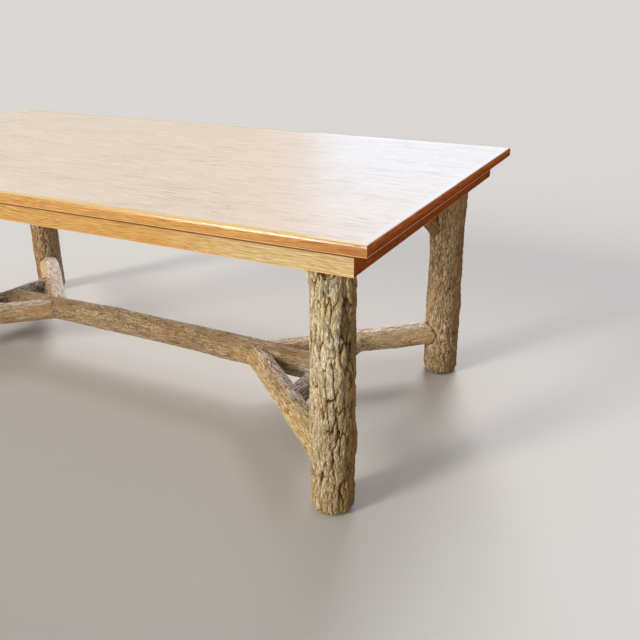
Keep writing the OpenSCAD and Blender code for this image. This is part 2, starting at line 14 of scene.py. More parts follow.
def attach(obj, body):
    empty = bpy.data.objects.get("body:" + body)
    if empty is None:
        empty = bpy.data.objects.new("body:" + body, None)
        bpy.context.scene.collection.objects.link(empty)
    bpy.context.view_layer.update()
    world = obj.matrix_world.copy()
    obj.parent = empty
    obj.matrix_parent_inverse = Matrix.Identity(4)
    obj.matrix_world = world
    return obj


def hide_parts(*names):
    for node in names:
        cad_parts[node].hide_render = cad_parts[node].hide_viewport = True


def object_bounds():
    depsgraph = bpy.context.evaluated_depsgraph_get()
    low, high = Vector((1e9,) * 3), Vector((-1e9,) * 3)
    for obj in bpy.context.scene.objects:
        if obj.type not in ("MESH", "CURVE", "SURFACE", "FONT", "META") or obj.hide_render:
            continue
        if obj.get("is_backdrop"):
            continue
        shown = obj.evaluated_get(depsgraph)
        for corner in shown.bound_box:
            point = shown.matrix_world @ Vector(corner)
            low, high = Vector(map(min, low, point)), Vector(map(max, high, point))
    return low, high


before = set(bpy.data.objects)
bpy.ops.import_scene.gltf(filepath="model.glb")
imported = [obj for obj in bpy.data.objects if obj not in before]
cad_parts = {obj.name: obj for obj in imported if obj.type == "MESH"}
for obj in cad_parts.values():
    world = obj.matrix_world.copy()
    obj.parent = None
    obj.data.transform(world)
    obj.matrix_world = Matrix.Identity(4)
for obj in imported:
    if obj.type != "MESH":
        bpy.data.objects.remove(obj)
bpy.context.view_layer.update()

scene = bpy.context.scene
scene.view_settings.view_transform = "Standard"

# %% [markdown]
# ## Camera
# A perspective camera is a place, two turns and a lens. The place and turns were worked out from
# the straight edges of the table top and the feet. The picture is tilted by a third of a degree,
# so the camera is rolled by as much.

# %% Camera
CAMERA_PLACE = (1.6206, -1.8645, 1.2119)
CAMERA_YAW = 27.05
CAMERA_DOWN = 23.395
CAMERA_ROLL = -0.36
LENS = 42.05

camera = bpy.data.objects.new("camera", bpy.data.cameras.new("camera"))
scene.collection.objects.link(camera)
camera.data.lens = LENS
camera.matrix_world = (
    Matrix.Translation(CAMERA_PLACE)
    @ Matrix.Rotation(math.radians(CAMERA_YAW), 4, "Z")
    @ Matrix.Rotation(math.radians(90 - CAMERA_DOWN), 4, "X")
    @ Matrix.Rotation(math.radians(CAMERA_ROLL), 4, "Z")
)
scene.camera = camera
print("Camera at", CAMERA_PLACE, "with a", LENS, "mm lens")

# %% [markdown]
# ## Helpers for materials
# Colours are written as on screen, in hex, and turned to the linear light that shaders reckon
# in. A material is a tree of nodes, so one function adds a node with its settings and links.

# %% Helpers for materials
def linear(hex_colour):
    parts = [int(hex_colour[i:i + 2], 16) / 255 for i in (1, 3, 5)]
    return (*[p / 12.92 if p <= 0.04045 else ((p + 0.055) / 1.055) ** 2.4 for p in parts], 1.0)


def set_inputs(tree, node, inputs):
    """Each value in inputs is a number, a colour, or another node's output to link."""
    for name, value in inputs.items():
        if isinstance(value, bpy.types.NodeSocket):
            tree.links.new(value, node.inputs[name])
        else:
            node.inputs[name].default_value = value


def add(tree, kind, inputs=None, **settings):
    """Adds a node with its settings and inputs."""
    node = tree.nodes.new("ShaderNode" + kind)
    for name, value in settings.items():
        setattr(node, name, value)
    set_inputs(tree, node, inputs or {})
    return node


def new_material(name):
    material = bpy.data.materials.new(name)
    material.use_nodes = True
    tree = material.node_tree
    tree.nodes.clear()
    shader = add(tree, "BsdfPrincipled")
    add(tree, "OutputMaterial", {"Surface": shader.outputs["BSDF"]})
    return material, tree, shader


# %% [markdown]
# ## Floor and light
# A plain pale floor keeps the table's shadow. The world is a low, even light from all round. Five
# soft suns do the rest. The key and the low key stand at the front left, one above the other like
# the two halves of a tall window: they reach under the top and leave the right end dark. The two
# rims come in from behind, light the top and draw pale upper edges on the rails below it. A little
# more light falls from the ceiling.
# Satin varnish mirrors bright things: a wide window low behind the table pales the top towards the
# right, and one high at the left draws the thin white line on the front moulding's round edge.
# Both windows only show in reflections. Past the floor's edge the camera and the varnish see a
# pale backdrop, which lights nothing.

# %% Floor
FLOOR_SIZE = 60
bpy.ops.mesh.primitive_plane_add(size=FLOOR_SIZE)
floor = bpy.context.object
floor.name = "floor"
floor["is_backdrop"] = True
paint, tree, shader = new_material("matt floor paint")
set_inputs(tree, shader, {
    "Base Color": linear("#CAC8C4"), "Roughness": 1.0, "Specular IOR Level": 0.1,
})
floor.data.materials.append(paint)
print("Floor", FLOOR_SIZE, "m wide")

# %% World
FILL = 0.27
BACKDROP = "#DAD8D4"
world = bpy.data.worlds.new("studio")
scene.world = world
world.use_nodes = True
tree = world.node_tree
tree.nodes.clear()
fill = add(tree, "Background", {"Color": (1, 1, 1, 1), "Strength": FILL}).outputs[0]
backdrop = add(tree, "Background", {"Color": linear(BACKDROP), "Strength": 1.0}).outputs[0]
ray = add(tree, "LightPath").outputs
seen = ray["Is Camera Ray"]
for kind in ("Is Glossy Ray", "Is Transmission Ray"):
    seen = add(tree, "Math", {0: seen, 1: ray[kind]}, operation="MAXIMUM").outputs[0]
shown = add(tree, "MixShader", {0: seen, 1: fill, 2: backdrop}).outputs[0]
add(tree, "OutputWorld", {"Surface": shown})
print("World: fill", FILL, "and backdrop", BACKDROP)


# %% Lamps
def lamp(name, kind, place, target, power, colour, **settings):
    light = bpy.data.lights.new(name, kind)
    light.energy = power
    light.color = linear(colour)[:3]
    for key, value in settings.items():
        setattr(light, key, value)
    obj = bpy.data.objects.new(name, light)
    scene.collection.objects.link(obj)
    obj.location = place
    obj.rotation_euler = (Vector(target) - Vector(place)).to_track_quat("-Z", "Y").to_euler()
    obj.visible_camera = False
    return obj


def sun(name, toward, level, colour, spread):
    """A level of 1 lights a white surface that faces the sun to plain white."""
    return lamp(
        name, "SUN", toward, (0, 0, 0), level * math.pi, colour, angle=math.radians(spread),
    )


def window(name, place, target, size, glow, colour):
    """A lamp that only reflections see. With a glow of 1 its reflection is plain white."""
    area = size[0] * size[1]
    obj = lamp(
        name, "AREA", place, target, glow * math.pi * area, colour,
        shape="RECTANGLE", size=size[0], size_y=size[1],
    )
    obj.visible_diffuse = False


sun("key", (-0.473, -0.819, 0.36), level=0.67, colour="#FFF8EE", spread=16)
sun("low key", (-0.473, -0.819, 0.13), level=0.35, colour="#FFF8EE", spread=14)
rims = (
    sun("rim", (-0.60, 1.60, 0.75), level=0.42, colour="#F2F4FF", spread=22),
    sun("high rim", (-0.35, 1.60, 1.50), level=0.60, colour="#F8F8FF", spread=24),
)
for rim in rims:
    rim.visible_glossy = False
sun("ceiling", (0.0, 0.0, 1.0), level=0.09, colour="#FFFFFF", spread=60)
window(
    "back window", (-0.15, 4.7, 2.0), target=(0.9, -0.2, 0.76), size=(3.0, 1.8), glow=2.1,
    colour="#80C7FF",
)
window(
    "high window", (-0.74, -1.62, 3.13), target=(0.8, -0.57, 0.76), size=(1.7, 1.2), glow=20.0,
    colour="#FFFFFF",
)

# %% [markdown]
# ## Three steps of a finish
# The finishes of wood and bark are all built from three steps. Clouds are a soft noise with a
# size of its own along each axis. A weighted sum adds several patterns up to one. A layer lays a
# tint over the colour below where a pattern rises from one value to another, as a stain takes in
# one place and not in the next.

# %% Steps of a finish
MM = 0.001
# A colour Mix node's sockets by number: its two colours and its result
FIRST, SECOND, MIXED = 6, 7, 2


def clouds(tree, vector, sizes_mm, detail, roughness=0.6):
    """sizes_mm is about how wide a cloud is along each axis."""
    scale = tuple(1 / (size * MM) for size in sizes_mm)
    stretched = add(tree, "Mapping", {"Vector": vector, "Scale": scale}).outputs["Vector"]
    return add(tree, "TexNoise", {
        "Vector": stretched, "Scale": 1.0, "Detail": detail, "Roughness": roughness,
    }).outputs


def weighted_sum(tree, *patterns):
    """Each pattern is a value and its weight."""
    total = 0.0
    for value, weight in patterns:
        total = add(tree, "Math", {0: value, 1: weight, 2: total}, operation="MULTIPLY_ADD").outputs[0]
    return total


def layer(tree, below, tint, value, low=0.0, high=1.0, most=1.0, how="MIX"):
    """Shows none of the tint where value is low, and most of it where value is high."""
    amount = add(tree, "MapRange", {
        "Value": value, "From Min": low, "From Max": high, "To Max": most,
    }).outputs["Result"]
    return add(
        tree, "Mix", {0: amount, FIRST: below, SECOND: tint}, data_type="RGBA", blend_type=how,
    ).outputs[MIXED]


# %% [markdown]
# ## Oak, satin varnish
# A veneer is a slice of the log 0.6 mm thin. Cut flat, it shows long arches where the year rings
# run out of the surface. Rings are tubes round the middle of the tree: a tube that leans a little
# against the board cuts it in arches. So the pattern is a ring wave whose centre line is tilted,
# bent by a slow noise. Unlike a picture of oak it goes right through a board, and its top and
# edges fit together. On it lie long soft streaks, the pores of oak, which are short dark
# scratches along the grain, and thin dark lines in clusters, where a year grew slowly. The
# mouldings and aprons are solid oak under an amber toner. The end boards are the same oak,
# painted darker and redder: painted shade, since they face away from the key light. Light and
# shade are painted along the boards as well: a broad painted reflection is brightest about 0.75 m
# right of the middle, so the front apron is paler from there on and the front moulding darker
# past it, towards its right end, and painted shade darkens the end mouldings towards their lower
# edge. The mouldings' flat tops are paler, sanded level with the panel, and on the end mouldings
# that top is a painted reflection as well. Every board's lower edge has a pale line, a painted
# highlight on its eased edge, and under the mouldings the aprons' tops are darker, a painted
# shadow of the overhang. Satin varnish has an IOR of 1.5 and gives a soft, broad gloss: its
# roughness goes from 0.16, on the front moulding, to 0.34, and to more in the pores.

# %% Patterns of oak
RING_MM, DARK_YEAR_MM, CLUSTER_MM = 7.0, 3.4, 60.0
# Real pores are a quarter of a millimetre wide, too fine to show, so they are drawn coarser
PORE_MM = 1.1
# A wave texture of scale 1 has this many turns to the metre
TURN_PER_METRE = 20 / (2 * math.pi)
# The trunk's slow bends, how many metres they reach, and how far its middle is off the board
BENDS_MM, BEND_BY, MIDDLE_AWAY = (909.1, 142.86, 142.86), 0.11, 0.08
MIDDLE_GREY = (0.5, 0.5, 0.5)
FLAT_TOP = 0.7617
# The painted shadow under the mouldings, as a band's heights: its hard side, then where it starts to fade
# and where it has faded out
PAINTED_SHADOW_UNDER_MOULDING = (0.7355, 0.7180, 0.7165)
# The lower edges that get a painted highlight, and how far above each it is full and has faded out
LOWER_EDGES = (0.7366, 0.6731)
EDGE_HIGHLIGHT_FULL_MM, EDGE_HIGHLIGHT_MM = 1.32, 2.2


def band(tree, height, hard, full, fade):
    """1 from its hard side to full, and from there on less, down to 0 at fade."""
    soft = add(tree, "MapRange", {"Value": height, "From Min": fade, "From Max": full}).outputs[0]
    side = "GREATER_THAN" if hard < full else "LESS_THAN"
    inside = add(tree, "Math", {0: height, 1: hard}, operation=side).outputs[0]
    return add(tree, "Math", {0: soft, 1: inside}, operation="MULTIPLY").outputs[0]


def year_rings(tree, board, lean):
    """The board as it lay in its bent trunk, and the rings there."""
    shift = clouds(tree, board, BENDS_MM, 3.0, 0.5)["Color"]
    shift = add(tree, "VectorMath", {0: shift, 1: MIDDLE_GREY}, operation="SUBTRACT").outputs[0]
    shift = add(tree, "VectorMath", {0: shift, "Scale": BEND_BY}, operation="SCALE").outputs[0]
    bent = add(tree, "VectorMath", {0: board, 1: shift}, operation="ADD").outputs[0]
    trunk = add(tree, "Mapping", {
        "Vector": bent, "Rotation": (0, math.radians(lean), 0), "Location": (0, 0, MIDDLE_AWAY),
    }).outputs["Vector"]
    rings = add(tree, "TexWave", {
        "Vector": trunk, "Scale": 1 / (RING_MM * MM) / TURN_PER_METRE, "Distortion": 2.0,
        "Detail": 3.0, "Detail Scale": 0.4, "Detail Roughness": 0.6,
    }, wave_type="RINGS", rings_direction="X", wave_profile="SAW").outputs["Fac"]
    return bent, rings


def streaks(tree, bent, width_mm, length, low, high, detail):
    """length is that of a streak in widths, and low to high where it comes in."""
    noise = clouds(tree, bent, (width_mm * length, width_mm, width_mm), detail, 0.55)["Fac"]
    return add(tree, "MapRange", {"Value": noise, "From Min": low, "From Max": high}).outputs[0]


# %% The oak's material
def oak(name, pale, dark, grain, lean, streak_mm, weights, roughness, painted_edge_highlight=None, shade=None,
        sanded_top_and_painted_glare=None, corner=None):
    """grain is X or Y, the way the board's grain runs, and lean the degrees between that and the
    tree's middle. weights are those of rings, streaks, pores and dark years. worn is the colour of
    the lower edge, a painted highlight on its eased edge. flush is that of the flat top, paler where
    it was sanded level with the panel and on the end mouldings a painted reflection as well. corner
    is that of the painted shadow under the moulding. shade is painted light and shading along a
    board: a tint of one end or edge, the axis it fades along, and where it is full and has faded out."""
    material, tree, shader = new_material(name)
    where = add(tree, "TexCoord").outputs["Object"]
    turn = (0, 0, math.radians(0 if grain == "X" else 90))
    board = add(tree, "Mapping", {"Vector": where, "Rotation": turn}).outputs["Vector"]
    bent, rings = year_rings(tree, board, lean)
    soft = streaks(tree, bent, streak_mm, length=22, low=0.36, high=0.66, detail=4.0)
    pore = streaks(tree, bent, PORE_MM, length=30, low=0.54, high=0.68, detail=2.0)
    dark_year = streaks(tree, bent, DARK_YEAR_MM, length=45, low=0.54, high=0.66, detail=3.0)
    cluster = streaks(tree, bent, CLUSTER_MM, length=5, low=0.42, high=0.60, detail=2.0)
    dark_year = add(tree, "Math", {0: dark_year, 1: cluster}, operation="MULTIPLY").outputs[0]
    tone = weighted_sum(tree, *zip((rings, soft, pore, dark_year), weights))
    colour = layer(tree, linear(pale), linear(dark), tone)

    axes = add(tree, "SeparateXYZ", {"Vector": where}).outputs
    height = axes["Z"]
    on_top = add(tree, "MapRange", {
        "Value": height, "From Min": FLAT_TOP - MM, "From Max": FLAT_TOP,
    }).outputs["Result"]
    # Painted light and shading along a board: a broad painted reflection on the long boards, painted
    # shading low on the end mouldings
    if shade:
        tint, axis, full, fade = shade
        colour = layer(tree, colour, linear(tint), axes[axis], fade, full, how="MULTIPLY")
    # The flat top: paler where sanded level with the panel, and on the end mouldings a painted reflection
    if sanded_top_and_painted_glare:
        colour = layer(tree, colour, linear(sanded_top_and_painted_glare), on_top, most=0.85)
    # Bands: the painted shadow of the moulding's overhang on the apron's top, and a painted highlight on
    # each lower edge
    bands = [(corner, PAINTED_SHADOW_UNDER_MOULDING)] if corner else []
    if painted_edge_highlight:
        for edge in LOWER_EDGES:
            bands.append((painted_edge_highlight, (edge - MM, edge + EDGE_HIGHLIGHT_FULL_MM * MM, edge + EDGE_HIGHLIGHT_MM * MM)))
    for tint, heights in bands:
        colour = layer(tree, colour, linear(tint), band(tree, height, *heights))

    rough = add(tree, "MapRange", {"Value": pore, "To Min": roughness, "To Max": roughness + 0.12})
    bump = add(tree, "Bump", {"Height": pore, "Strength": 0.35, "Distance": 0.15 * MM}, invert=True)
    set_inputs(tree, shader, {
        "Base Color": colour, "Roughness": rough.outputs["Result"],
        "Normal": bump.outputs["Normal"], "IOR": 1.5,
    })
    if grain == "Y":
        # The end boards mirror the light on their flat tops alone
        set_inputs(tree, shader, {"Specular IOR Level": weighted_sum(tree, (on_top, 0.5))})
    return material


# %% Five kinds of oak
veneer = oak(
    "flat-cut oak veneer, satin varnish", pale="#E4D2BD", dark="#84664A", grain="X", lean=4.0,
    streak_mm=8.0, weights=(0.13, 0.17, 0.15, 0.50), roughness=0.34,
)
# Painted reflection: the long mouldings grow darker past 0.75 m, towards their right end; painted highlight
# on the lower edge
moulding = oak(
    "golden oak moulding, satin varnish", pale="#DBA85A", dark="#85490F", grain="X", lean=1.2,
    streak_mm=2.2, weights=(0.15, 0.50, 0.35, 0.20), roughness=0.16, painted_edge_highlight="#E9B873",
    shade=("#DCC4B8", "X", 1.05, 0.75), sanded_top_and_painted_glare="#E2BD60",
)
# Painted reflection: the long aprons are paler right of 0.75 m; painted shadow under the moulding, painted
# highlight on the lower edge
golden = oak(
    "golden oak board, satin varnish", pale="#DFC891", dark="#85591F", grain="X", lean=1.2,
    streak_mm=2.4, weights=(0.20, 0.50, 0.40, 0.20), roughness=0.26, painted_edge_highlight="#E9B873",
    shade=("#FCDFA9", "X", 0.50, 0.75), corner="#7C4616",
)
# The end mouldings: the same oak, painted darker and redder as painted shade, since they face away from the
# key light
end_moulding_painted_shade = oak(
    "oak moulding in painted shade, satin varnish", pale="#D87E44", dark="#6E300E", grain="Y", lean=1.2,
    streak_mm=2.2, weights=(0.20, 0.60, 0.25, 0.15), roughness=0.30, painted_edge_highlight="#F4D0B4",
    shade=("#D8B8A0", "Z", 0.742, 0.756), sanded_top_and_painted_glare="#DED2C0",
)
# The end aprons: the same oak, painted darker and redder as painted shade
end_board_painted_shade = oak(
    "oak board in painted shade, satin varnish", pale="#AC5C2B", dark="#54240A", grain="Y", lean=1.2,
    streak_mm=2.6, weights=(0.20, 0.55, 0.25, 0.10), roughness=0.30, painted_edge_highlight="#D09A78",
    corner="#552508",
)


def finish_nodes(material, *nodes):
    for name in nodes:
        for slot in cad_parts[name].material_slots:
            slot.material = material
    print(material.name, "on", ", ".join(nodes))


finish_nodes(veneer, "top_panel")
finish_nodes(moulding, "edge_front", "edge_back")
finish_nodes(golden, "apron_front", "apron_back")
finish_nodes(end_moulding_painted_shade, "edge_left", "edge_right")
finish_nodes(end_board_painted_shade, "apron_left", "apron_right")

# %% [markdown]
# ## Planed poplar and zinc-plated steel
# Under the top, where nobody looks, the battens, cleats and blocks are planed poplar without a
# finish: pale, faintly green, with soft straight streaks 11 mm wide. The screws are steel with a
# thin zinc plating, which is grey, a little rough and mottled.

# %% Hidden timber and fasteners
ALONG_MM, ACROSS_MM = 250, 11.11


def poplar(name, grain):
    material, tree, shader = new_material(name)
    where = add(tree, "TexCoord").outputs["Object"]
    sizes = (ALONG_MM, ACROSS_MM, ACROSS_MM) if grain == "X" else (ACROSS_MM, ALONG_MM, ACROSS_MM)
    lines = clouds(tree, where, sizes, 5.0)["Fac"]
    colour = layer(tree, linear("#B9A070"), linear("#DCC99E"), lines, 0.3, 0.72)
    bump = add(tree, "Bump", {"Height": lines, "Strength": 0.3, "Distance": 0.2 * MM})
    set_inputs(tree, shader, {
        "Base Color": colour, "Roughness": 0.62, "Normal": bump.outputs["Normal"],
    })
    return material


finish_nodes(poplar("planed poplar across", "Y"), "batten_left", "batten_middle", "batten_right")
finish_nodes(
    poplar("planed poplar along", "X"), "cleats_front", "cleats_back",
    *[f"corner_block_{side}_{end}" for side in ("front", "back") for end in ("left", "right")],
)

MOTTLE_MM = 2.5
zinc, tree, shader = new_material("zinc-plated steel")
where = add(tree, "TexCoord").outputs["Object"]
mottle = add(tree, "TexNoise", {"Vector": where, "Scale": 1 / (MOTTLE_MM * MM), "Detail": 3.0})
shine = add(tree, "MapRange", {"Value": mottle.outputs["Fac"], "To Min": 0.28, "To Max": 0.5})
set_inputs(tree, shader, {
    "Base Color": linear("#C3C5C6"), "Metallic": 1.0, "Roughness": shine.outputs["Result"],
})
finish_nodes(
    zinc, "leg_lag_screws", "leg_lag_washers", "batten_screws", "cleat_screws_up",
    "cleat_screws_out", "toe_screws",
)

# %% [markdown]
# ## A log as a formula
# A log is a tube whose radius changes with the height h and the heading a round it: a slow taper,
# an oval, crossing ridges and a few knots, and its axis bows. A knot is its height, its heading,
# its width and how far it stands out. These are the CAD logs' own formulas and numbers, in
# millimetres and degrees, so every log here fits the CAD log it stands for. Only the feet are
# rounded a little more, since their bark has frayed off there. Every function takes whole arrays
# of h and a, so that a log is made in a few steps.

# %% The plain log
BARK_WAVE = 190
BARK_DEPTH = 1.3
LOG_OVAL = 1.6
BARK_SEED = 95
NO_ROUND = (0, 0)


def cosd(degrees):
    return np.cos(np.radians(degrees))


def sind(degrees):
    return np.sin(np.radians(degrees))


def plain_radius(log, h):
    return (log["foot_d"] + (log["tip_d"] - log["foot_d"]) * h / log["length"]) / 2


def cad_radius(log, h, a):
    plain = plain_radius(log, h)
    seed, ridges, turn = log["seed"], log["ridges"], 360 * h / BARK_WAVE
    rising = cosd(ridges * a + turn + seed)
    falling = cosd(ridges * a - turn * 3 / 4 + 2 * seed)
    r = plain + BARK_DEPTH * (rising + falling) / 2 + LOG_OVAL / 2 * cosd(2 * a + turn / 3 + seed)
    for height, heading, width, rise in log["knots"]:
        around = np.radians((a - heading + 180) % 360 - 180) * plain / width
        r = r + rise * np.exp(-((h - height) / width) ** 2 - around ** 2)
    return r


def quarter_round(t):
    """How far a rounded end has drawn in where t of its length is past, from 0 to 1."""
    return 1 - np.sqrt(1 - t * t)


def end_draw(end_round, h):
    inset, length = end_round
    if not length:
        return 0 * h
    return inset * quarter_round(np.clip(1 - h / length, 0, 1))


def axis_offset(log, h):
    push = log["bow"] * sind(180 * h / log["length"])
    return push * cosd(log["heading"]), push * sind(log["heading"])


def round_place(r, h, a, middle=(0, 0)):
    """Places at the radius r and the heading a round a middle, at the height h."""
    return np.stack([middle[0] + r * cosd(a), middle[1] + r * sind(a), h], -1)


def placed(start, stop):
    """Turns a log's own frame, standing along +Z, so that it runs from start to stop."""
    run = Vector(stop) - Vector(start)
    lean = math.acos(run.z / run.length)
    return (
        Matrix.Translation(start) @ Matrix.Rotation(math.atan2(run.y, run.x), 4, "Z")
        @ Matrix.Rotation(lean, 4, "Y")
    )


# %% [markdown]
# ## Bark by numbers
# Bark cracks because the trunk grows thicker under a skin that doesn't. The cracks leave plates,
# long ones along the trunk. Two simple patterns give both. A wander is a smooth noise: random
# values on a grid of points, blended between them. Plates are the cells round scattered points:
# the nearest point owns the place, and where two points are nearly as near, there is a crack.
# Both are reckoned in space on the plain tube, so they close round the log without a seam. They
# move the mesh itself, because a bump in the material would leave the log's outline smooth.

# %% Noise and plates
# Keeps a whole number below 2 to the power of 32
MASK = 0xFFFFFFFF


def chance(cell, salt):
    """A repeatable value from 0 to 1 for each whole-number cell."""
    value = (cell[..., 0] * 73856093) ^ (cell[..., 1] * 19349663) ^ (cell[..., 2] * 83492791)
    value = (value ^ (salt * 2971215073)) & MASK
    for shift in (15, 13, 16):
        value = ((value ^ (value >> shift)) * 2246822519) & MASK
    return value / MASK


def smooth(t):
    return t * t * (3 - 2 * t)


def ease(low, high, value):
    return smooth(np.clip((value - low) / (high - low), 0, 1))


def wander(points, salt):
    """A smooth noise from -1 to 1 that changes over about one unit."""
    cell = np.floor(points).astype(np.int64)
    t = smooth(points - cell)
    total = 0
    for corner in np.ndindex(2, 2, 2):
        weight = np.prod(np.where(corner, t, 1 - t), axis=-1)
        total = total + weight * chance(cell + np.array(corner), salt)
    return total * 2 - 1


def plates(points, salt):
    """How far a place is from the nearest crack, and its plate's own tone and slope."""
    cell = np.floor(points).astype(np.int64)
    first = np.full(points.shape[:-1], np.inf)
    second = first.copy()
    tone, slope = np.zeros(first.shape), np.zeros(first.shape)
    for step in np.ndindex(3, 3, 3):
        other = cell + np.array(step) - 1
        seed = np.stack([chance(other, salt + axis) for axis in range(3)], -1)
        apart = points - other - seed
        far = np.linalg.norm(apart, axis=-1)
        nearer = far < first
        second = np.where(nearer, first, np.minimum(second, far))
        tone = np.where(nearer, seed[..., 0], tone)
        slope = np.where(nearer, (apart * (2 * seed - 1)).sum(-1), slope)
        first = np.where(nearer, far, first)
    return second - first, tone, slope


# %% [markdown]
# ## Three barks
# The front legs wear the furrowed bark of a grown trunk: ridges 15 mm wide and 90 mm long that
# split and join, with furrows up to 5 mm deep between them. The back legs' bark is closer. The
# rails come from young stems: nearly smooth, with fine cracks. All three follow one recipe, each
# with its own sizes in millimetres, round the log and along it. Big plates slope down to their
# cracks like roofs, and each is tilted its own way. Small tilted plates, fibres and flakes lie on
# them, and a quick sideways wander makes every outline jagged. What stands out gets knocked off,
# so all tops end near one level. The recipe returns how far the surface moves out, how deep in a
# crack it lies from 0 to 1, and the plate's tone.

# %% Relief of the barks
FURROWED = dict(
    sway=(30, 70), sway_mm=(9, 24), jag=(5.5, 12), jag_mm=(2.1, 5), plate=(15, 92), depth=5.2,
    roof=0.33, tilt=4.2, small=(6.4, 34), small_depth=1.2, small_slope=1.6, fibre=(2.6, 14),
    fibre_mm=0.6, flake=(2.6, 4), flake_mm=0.7, dark=0.09, stain=1.0,
)
CLOSE = dict(
    sway=(26, 60), sway_mm=(6, 16), jag=(5, 9), jag_mm=(1.6, 4), plate=(8, 44), depth=2.4,
    roof=0.4, tilt=1.9, small=(6.0, 24), small_depth=1.4, small_slope=1.9, fibre=(2.4, 9),
    fibre_mm=0.5, flake=(2.6, 4), flake_mm=0.6, dark=0.10, stain=0.75,
)
YOUNG = dict(
    sway=(26, 70), sway_mm=(4, 12), jag=(5, 10), jag_mm=(1.0, 3), plate=(7, 60), depth=1.3,
    roof=0.5, tilt=1.0, small=(3.4, 40), small_depth=0.9, small_slope=1.0, fibre=(2.2, 26),
    fibre_mm=0.5, flake=(2.6, 6), flake_mm=0.35, dark=0.12, stain=0.7,
)
SALTS = dict(sway=0, jag=3, shallow=9, fibre=12, flake=13, plate=20, small=30)
# Where furrows run out: the size of the places, their noise, and what is left of the depth there
SHALLOW_SIZE, SHALLOW_NOISE, SHALLOWEST = (24, 24, 48), (-0.6, 0.3), 0.35
# The levels of a roof and a small roof that lie on the plain tube, and a small roof's width
ROOF_LEVEL, SMALL_LEVEL, SMALL_ROOF = 0.65, 0.7, 0.45
SMALL_JAG = 0.6
WORN_LEVEL = 1.8
# What a crack adds to the hollows, and the depths between which a place counts as low
CRACK_SHARE, LOW_DEPTHS = 0.35, (-0.1, 0.75)


def bark_relief(points, salt, kind):
    def size(name):
        across, along = kind[name]
        return np.array((across, across, along))

    def wanders(name):
        places = points / size(name)
        return np.stack([wander(places, salt + SALTS[name] + axis) for axis in range(3)], -1)

    jag = wanders("jag")
    bent = points + wanders("sway") * size("sway_mm") + jag * size("jag_mm")
    shallow = wander(points / SHALLOW_SIZE, salt + SALTS["shallow"])
    kept = SHALLOWEST + (1 - SHALLOWEST) * ease(*SHALLOW_NOISE, shallow)
    gap, tone, slope = plates(bent / size("plate"), salt + SALTS["plate"])
    small_gap, small_tone, small_slope = plates(
        (bent + SMALL_JAG * jag) / size("small"), salt + SALTS["small"],
    )
    roof = sind(90 * np.clip(gap / kind["roof"], 0, 1))
    small_roof = 1 - (1 - np.clip(small_gap / SMALL_ROOF, 0, 1)) ** 2
    fibre = wander(bent / size("fibre"), salt + SALTS["fibre"])
    flake = wander(points / size("flake"), salt + SALTS["flake"])
    out = kind["depth"] * kept * (roof - ROOF_LEVEL) + kind["tilt"] * slope
    out = out + kind["small_depth"] * (small_roof - SMALL_LEVEL + kind["small_slope"] * small_slope)
    out = np.where(out > 0, WORN_LEVEL * np.tanh(out / WORN_LEVEL), out)
    out = out + kind["fibre_mm"] * fibre + kind["flake_mm"] * flake
    crack = (1 - ease(0, kind["dark"], gap)) * kept
    low_lying = ease(*LOW_DEPTHS, -out / kind["depth"])
    hollow = np.clip(CRACK_SHARE * crack + (1 - CRACK_SHARE) * low_lying, 0, 1)
    return out, kind["stain"] * hollow, (tone + small_tone) / 2


# %% [markdown]
# ## Building a log's mesh
# A grid of rows along the log and columns round it, closed at both ends with a sawn face. The
# rows lie closer where an end is rounded. Five values go with every point, for the bark's finish
# to read: its place in the log's own frame, its depth in a crack, its plate's tone, how far it
# faces the sky behind the table, and whether it is sawn. A stem is rounded over where it meets
# its neighbour. There the neighbour's bark is pared smooth, and the seam is darker on both: dust
# and varnish, and painted contact shade.

# %% Places on a log's bark
SEAM_MM = 4
# From where bark is pared smooth, just inside a neighbour, to where it is left as it is
PARED_MM = (-4, 12)
# How far a rounded end has drawn in where its seam starts and is darkest
SEAM_DRAW_MM = (0.8, 4)
# How far a seed moves the bark's pattern on
PATTERN_STEP = 31.7
# Toward the sky behind the table, where the rails are paler: weathered, and a painted sheen of the light
# from behind
SKY = np.array((0.20, 0.50, 0.84))


def to_table(matrix, local):
    return np.einsum("ij,...j->...i", np.array(matrix.to_3x3()), local) + np.array(matrix.translation)


def outside(points, log, matrix):
    """How far places in the table's frame are outside a log's bark, in millimetres."""
    local = to_table(matrix.inverted(), points)
    h = np.clip(local[..., 2], 0, log["length"])
    middle = axis_offset(log, h)
    x, y = local[..., 0] - middle[0], local[..., 1] - middle[1]
    beyond = np.abs(local[..., 2] - h)
    return np.hypot(x, y) - cad_radius(log, h, np.degrees(np.arctan2(y, x))) + beyond


def log_points(log, matrix, h, a):
    """Places on a log's bark, with what the finish needs to know of them."""
    middle = axis_offset(log, h)
    r = cad_radius(log, h, a) - end_draw(log["start"], h) - end_draw(log["end"], log["length"] - h)
    on_tube = round_place(plain_radius(log, h), h, a) + log["seed"] * PATTERN_STEP
    out, hollow, tone = bark_relief(on_tube, int(log["seed"]), log["bark"])
    seam = 0
    # The seam is darker: dust and varnish, and painted contact shade
    for other, other_matrix, dark in log["holds"]:
        away = outside(to_table(matrix, round_place(r, h, a, middle)), other, other_matrix)
        out = out * ease(*PARED_MM, away)
        seam = np.maximum(seam, dark * (1 - ease(0, SEAM_MM, away)))
    local = round_place(r + out, h, a, middle)
    draw = 0 * h
    for other, other_matrix, size, depth in log["meets"]:
        near = np.clip(1 - outside(to_table(matrix, local), other, other_matrix) / size, 0, 1)
        draw = np.maximum(draw, depth * quarter_round(near))
    seam = np.maximum(seam, ease(*SEAM_DRAW_MM, draw))
    local = local - round_place(draw, 0 * h, a)
    facing = round_place(1 + 0 * h, 0 * h, a) @ (np.array(matrix.to_3x3()).T @ SKY)
    return to_table(matrix, local), local, np.clip(hollow + seam, 0, 1), tone, facing


